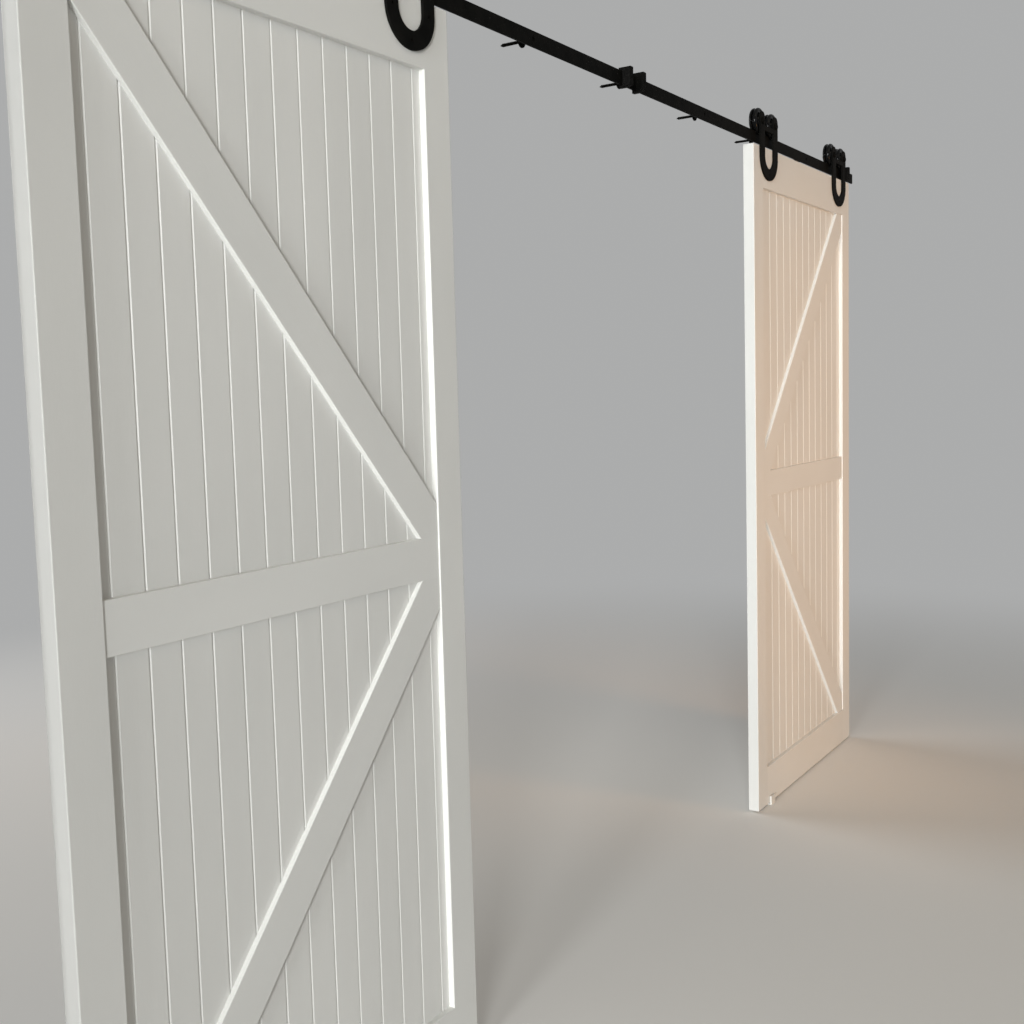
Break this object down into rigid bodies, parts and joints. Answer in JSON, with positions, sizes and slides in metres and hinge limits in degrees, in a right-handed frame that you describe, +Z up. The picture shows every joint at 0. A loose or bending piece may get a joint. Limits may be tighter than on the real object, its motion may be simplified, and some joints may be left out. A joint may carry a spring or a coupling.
{
  "type": "double sliding barn door",
  "caption": "Two white K-braced, V-grooved leaves hung by black horseshoe hangers with grooved wheels on one flat wall rail with stops and floor guides.",
  "frame": {"origin": "axis of the rail's middle lag bolt, at the wall plane", "axes": "+X along the rail to the right as seen from the room, +Y into the wall, +Z up"},
  "size_m": [3.7102, 0.113, 2.2843],
  "materials": {
    "painted_frame": "white satin paint on timber",
    "painted_panel": "white satin paint on grooved board",
    "black_steel": "matt black powder coat",
    "black_fastener": "black oxide",
    "black_wheel": "moulded black nylon",
    "bearing_steel": "ground steel",
    "zinc_screw": "zinc plated",
    "black_rubber": "matt rubber",
    "white_plastic": "off-white moulded plastic"
  },
  "bodies": {
    "fixed_track": {"rail": "black_steel", "wall_spacers": "black_steel", "lag_bolts": "black_fastener", "left_centre_stop": "black_steel", "right_centre_stop": "black_steel", "left_end_stop": "black_steel", "right_end_stop": "black_steel", "stop_pads": "black_rubber", "stop_set_screws": "black_fastener", "left_floor_guide": "white_plastic", "right_floor_guide": "white_plastic", "floor_guide_screws": "zinc_screw"},
    "left_leaf": {"left_inner_stile": "painted_frame", "left_outer_stile": "painted_frame", "left_top_rail": "painted_frame", "left_bottom_rail": "painted_frame", "left_panel": "painted_panel", "left_mid_rail": "painted_frame", "left_upper_brace": "painted_frame", "left_lower_brace": "painted_frame", "left_inner_hanger": "black_steel", "left_outer_hanger": "black_steel", "left_hanger_screws": "black_fastener", "left_axle_bolts": "black_fastener", "left_axle_sleeves": "zinc_screw", "left_axle_washers": "zinc_screw", "left_axle_nuts": "zinc_screw"},
    "left_wheel_unit_1": {"left_wheel_1": "black_wheel", "left_bearing_1": "bearing_steel"},
    "left_wheel_unit_2": {"left_wheel_2": "black_wheel", "left_bearing_2": "bearing_steel"},
    "left_wheel_unit_3": {"left_wheel_3": "black_wheel", "left_bearing_3": "bearing_steel"},
    "left_wheel_unit_4": {"left_wheel_4": "black_wheel", "left_bearing_4": "bearing_steel"},
    "right_leaf": {"right_inner_stile": "painted_frame", "right_outer_stile": "painted_frame", "right_top_rail": "painted_frame", "right_bottom_rail": "painted_frame", "right_panel": "painted_panel", "right_mid_rail": "painted_frame", "right_upper_brace": "painted_frame", "right_lower_brace": "painted_frame", "right_inner_hanger": "black_steel", "right_outer_hanger": "black_steel", "right_hanger_screws": "black_fastener", "right_axle_bolts": "black_fastener", "right_axle_sleeves": "zinc_screw", "right_axle_washers": "zinc_screw", "right_axle_nuts": "zinc_screw"},
    "right_wheel_unit_1": {"right_wheel_1": "black_wheel", "right_bearing_1": "bearing_steel"},
    "right_wheel_unit_2": {"right_wheel_2": "black_wheel", "right_bearing_2": "bearing_steel"},
    "right_wheel_unit_3": {"right_wheel_3": "black_wheel", "right_bearing_3": "bearing_steel"},
    "right_wheel_unit_4": {"right_wheel_4": "black_wheel", "right_bearing_4": "bearing_steel"}
  },
  "joints": [
    {"name": "left_leaf_slide", "type": "slide", "parent": "fixed_track", "child": "left_leaf", "axis": [1, 0, 0], "range_m": [0, 0.7968]},
    {"name": "left_wheel_1_spin", "type": "hinge", "parent": "left_leaf", "child": "left_wheel_unit_1", "pos_m": [-0.8748, -0.031, 0.0498], "axis": [0, 1, 0], "range_deg": [0, 1440]},
    {"name": "left_wheel_2_spin", "type": "hinge", "parent": "left_leaf", "child": "left_wheel_unit_2", "pos_m": [-0.9868, -0.031, 0.0498], "axis": [0, 1, 0], "range_deg": [0, 1440]},
    {"name": "left_wheel_3_spin", "type": "hinge", "parent": "left_leaf", "child": "left_wheel_unit_3", "pos_m": [-1.5858, -0.031, 0.0498], "axis": [0, 1, 0], "range_deg": [0, 1440]},
    {"name": "left_wheel_4_spin", "type": "hinge", "parent": "left_leaf", "child": "left_wheel_unit_4", "pos_m": [-1.6978, -0.031, 0.0498], "axis": [0, 1, 0], "range_deg": [0, 1440]},
    {"name": "right_leaf_slide", "type": "slide", "parent": "fixed_track", "child": "right_leaf", "axis": [-1, 0, 0], "range_m": [0, 0.7968]},
    {"name": "right_wheel_1_spin", "type": "hinge", "parent": "right_leaf", "child": "right_wheel_unit_1", "pos_m": [0.8748, -0.031, 0.0498], "axis": [0, 1, 0], "range_deg": [-1440, 0]},
    {"name": "right_wheel_2_spin", "type": "hinge", "parent": "right_leaf", "child": "right_wheel_unit_2", "pos_m": [0.9868, -0.031, 0.0498], "axis": [0, 1, 0], "range_deg": [-1440, 0]},
    {"name": "right_wheel_3_spin", "type": "hinge", "parent": "right_leaf", "child": "right_wheel_unit_3", "pos_m": [1.5858, -0.031, 0.0498], "axis": [0, 1, 0], "range_deg": [-1440, 0]},
    {"name": "right_wheel_4_spin", "type": "hinge", "parent": "right_leaf", "child": "right_wheel_unit_4", "pos_m": [1.6978, -0.031, 0.0498], "axis": [0, 1, 0], "range_deg": [-1440, 0]}
  ],
  "couplings": [
    {"joint": "left_wheel_1_spin", "follows": "left_leaf_slide", "rad_per_m": 31.25},
    {"joint": "left_wheel_2_spin", "follows": "left_leaf_slide", "rad_per_m": 31.25},
    {"joint": "left_wheel_3_spin", "follows": "left_leaf_slide", "rad_per_m": 31.25},
    {"joint": "left_wheel_4_spin", "follows": "left_leaf_slide", "rad_per_m": 31.25},
    {"joint": "right_wheel_1_spin", "follows": "right_leaf_slide", "rad_per_m": -31.25},
    {"joint": "right_wheel_2_spin", "follows": "right_leaf_slide", "rad_per_m": -31.25},
    {"joint": "right_wheel_3_spin", "follows": "right_leaf_slide", "rad_per_m": -31.25},
    {"joint": "right_wheel_4_spin", "follows": "right_leaf_slide", "rad_per_m": -31.25}
  ]
}
